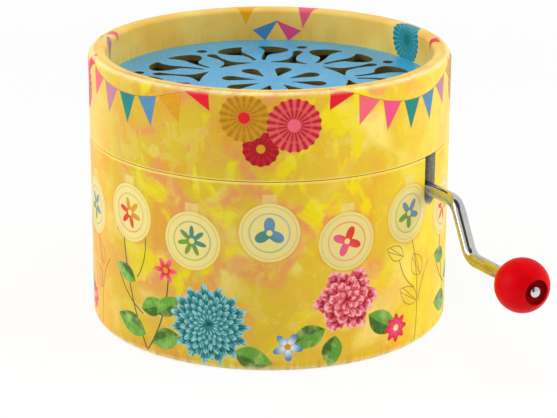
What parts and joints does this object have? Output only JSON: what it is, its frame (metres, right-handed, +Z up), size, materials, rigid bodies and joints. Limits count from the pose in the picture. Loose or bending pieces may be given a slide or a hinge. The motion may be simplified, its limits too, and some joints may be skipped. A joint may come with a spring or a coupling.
{
  "type": "hand crank music box",
  "caption": "Round card case with a lift-off lid, a pierced recessed grille and a side crank that turns a pinned drum against a steel comb through a worm drive.",
  "frame": {"origin": "centre of the underside, on the case's own axis", "axes": "+Z up along the case's axis, +X along the crank shaft, pointing out of the case"},
  "size_m": [0.1002, 0.07, 0.0535],
  "materials": {
    "printed_card": "laminated printed paper on card, satin",
    "rim_card": "laminated paper, satin, faintly creased",
    "raw_card": "raw grey board, matte",
    "grille_blue": "sky blue, satin",
    "wood": "sanded fibreboard, matte",
    "cast_zinc": "cast, satin",
    "brass": "turned",
    "steel": "plated",
    "comb_steel": "ground spring steel",
    "chrome": "polished",
    "red_lacquer": "gloss"
  },
  "bodies": {
    "case": {"base_disc": "printed_card", "base_tube": "printed_card", "inner_collar": "raw_card", "plinth": "wood", "bedplate": "cast_zinc", "comb": "comb_steel", "crank_bracket": "steel", "comb_screw_1": "steel", "comb_screw_2": "steel", "bracket_screw_1": "steel", "bracket_screw_2": "steel", "bedplate_screw_1": "steel", "bedplate_screw_2": "steel", "bedplate_screw_3": "steel", "bedplate_screw_4": "steel"},
    "crank": {"crank_rod": "chrome", "worm": "brass"},
    "knob": {"knob": "red_lacquer"},
    "drum": {"drum": "brass", "drum_end_left": "brass", "drum_end_right": "brass", "drum_arbor": "steel", "drum_wheel": "brass"},
    "lid": {"lid_tube": "printed_card", "rim_ring": "rim_card", "grille_disc": "grille_blue", "lid_liner": "raw_card"}
  },
  "joints": [
    {"name": "crank_turn", "type": "hinge", "parent": "case", "child": "crank", "pos_m": [0, 0.018, 0.03027], "axis": [1, 0, 0], "continuous": true},
    {"name": "knob_spin", "type": "hinge", "parent": "crank", "child": "knob", "pos_m": [0, 0.018, 0.02088], "axis": [1, 0, 0], "continuous": true},
    {"name": "drum_turn", "type": "hinge", "parent": "case", "child": "drum", "pos_m": [0.0024, 0, 0.021], "axis": [0, 1, 0], "continuous": true},
    {"name": "lid_lift", "type": "slide", "parent": "case", "child": "lid", "axis": [0, 0, 1], "range_m": [0, 0.03]}
  ],
  "couplings": [
    {"joint": "drum_turn", "follows": "crank_turn", "ratio": -0.066667}
  ]
}
